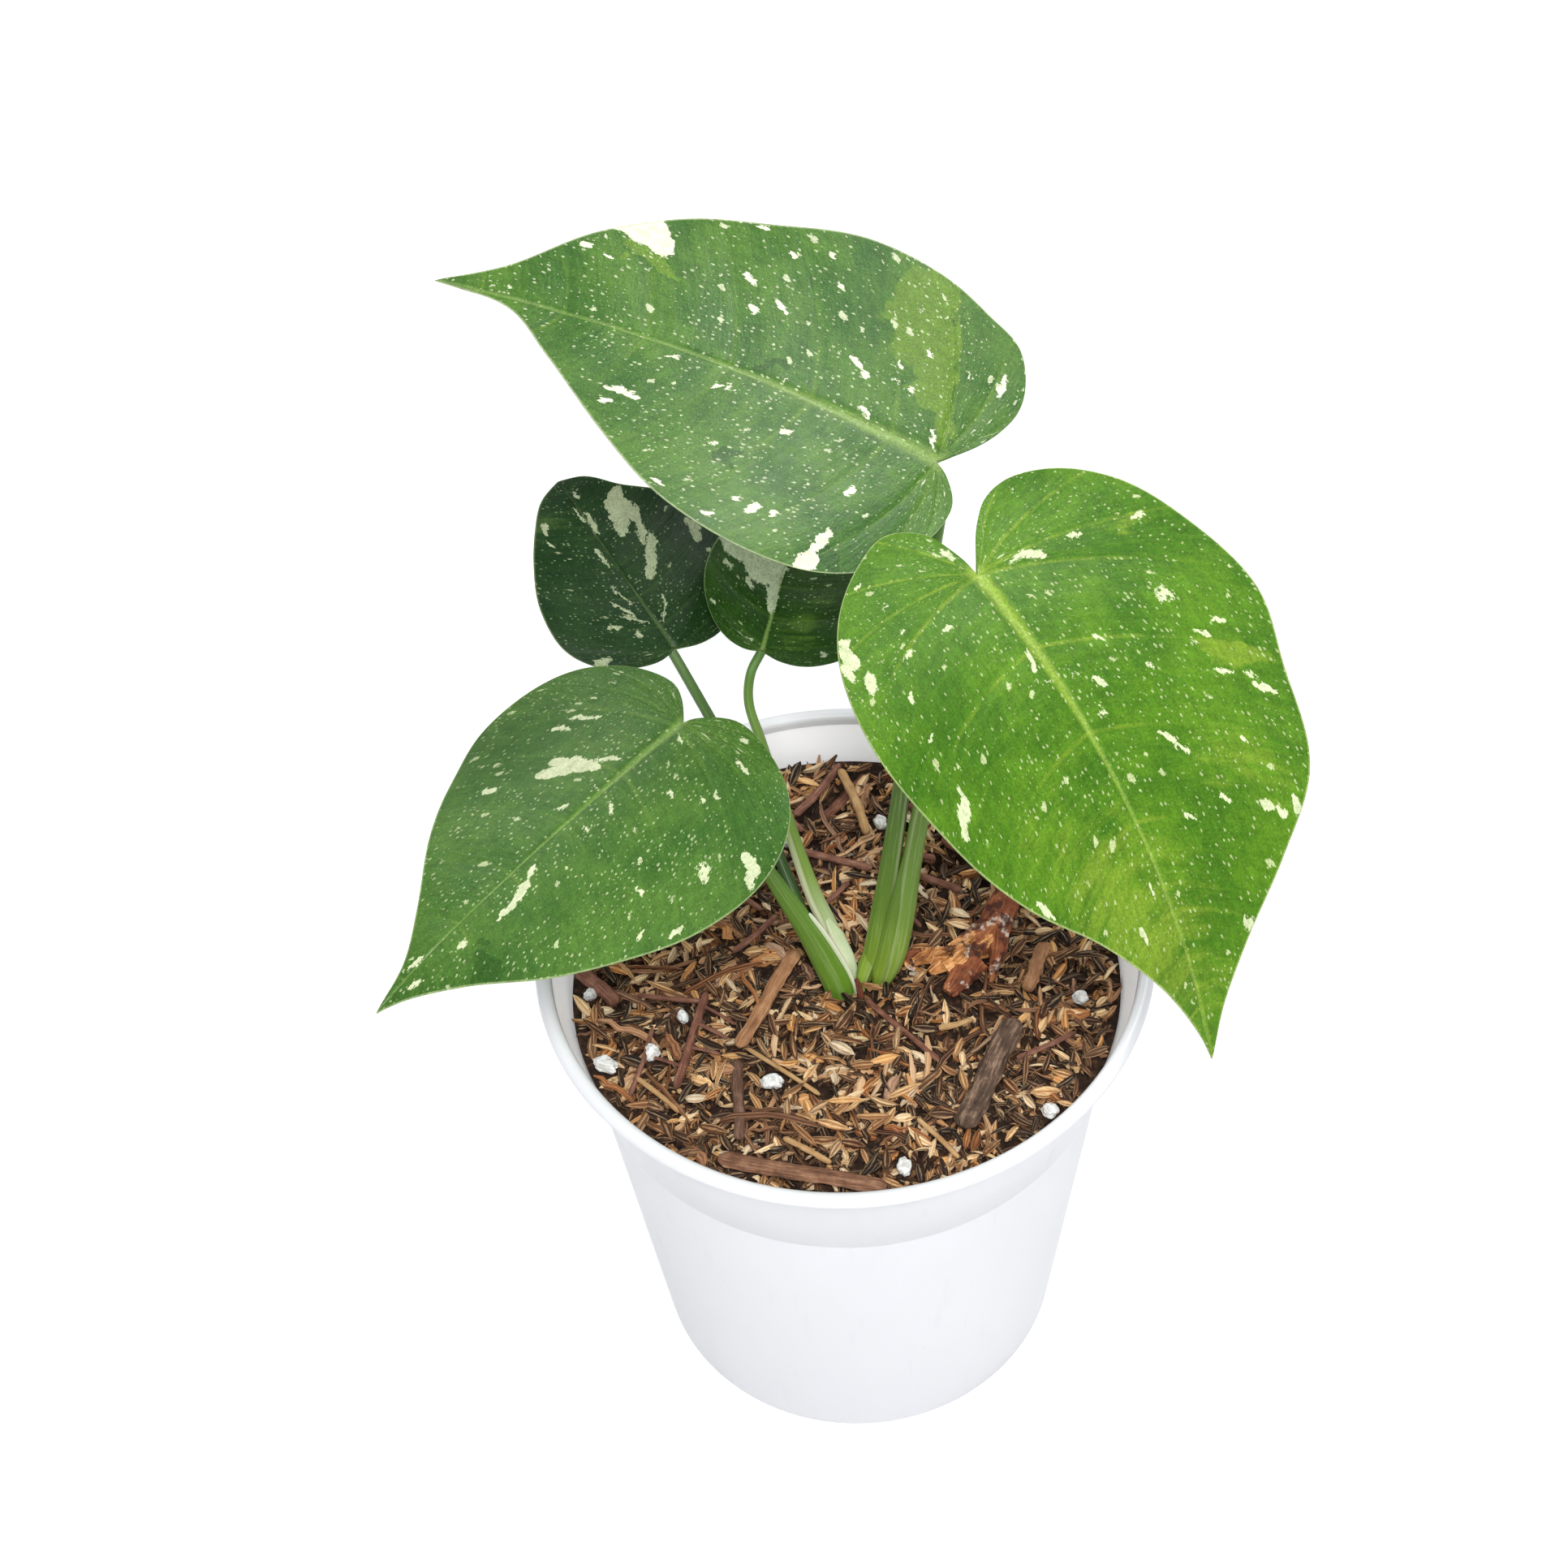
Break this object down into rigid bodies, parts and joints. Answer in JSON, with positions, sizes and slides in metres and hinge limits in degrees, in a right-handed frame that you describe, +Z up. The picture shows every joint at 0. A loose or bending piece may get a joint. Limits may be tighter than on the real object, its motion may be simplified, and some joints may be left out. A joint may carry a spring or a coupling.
{
  "type": "potted monstera plant",
  "caption": "Cream-flecked monstera with broad heart-shaped leaves on long stalks, standing in potting mix in a round tapered pot.",
  "frame": {"origin": "centre of the pot's underside, on the surface it stands on", "axes": "+Z up, -Y towards the front of the plant, +X to its right"},
  "size_m": [0.2253, 0.2059, 0.3189],
  "materials": {
    "pot": "white moulded plastic with a satin sheen",
    "mix": "rice husks, bark and coco fibre",
    "stem": "buried green-brown stem",
    "leaf": "waxy mid green with cream flecks",
    "leaf_young": "waxy bright green with cream flecks",
    "leaf_dark": "waxy dark green with cream flecks",
    "old_wood": "torn orange-brown woody stem",
    "dry_sheath": "dried papery sheath",
    "bark": "dull dark bark",
    "pale_wood": "dull split wood",
    "root": "dull brown root",
    "perlite": "chalky white expanded mineral"
  },
  "bodies": {
    "root": {"pot": "pot", "potting_mix": "mix", "buried_stem": "stem", "leaf_top": "leaf", "leaf_right": "leaf_young", "leaf_left": "leaf", "leaf_back_left": "leaf_dark", "leaf_back": "leaf_dark", "woody_chunk": "old_wood", "dried_sheath": "dry_sheath", "dark_bark": "bark", "pale_stick": "pale_wood", "front_bark": "bark", "tan_strip": "pale_wood", "brown_strip": "bark", "left_twig": "root", "root_back": "root", "root_right": "root", "thin_fibre": "root", "back_stick": "root", "perlite_01": "perlite", "perlite_02": "perlite", "perlite_03": "perlite", "perlite_04": "perlite", "perlite_05": "perlite", "perlite_06": "perlite", "perlite_07": "perlite", "perlite_08": "perlite", "perlite_09": "perlite", "perlite_10": "perlite"}
  },
  "joints": []
}
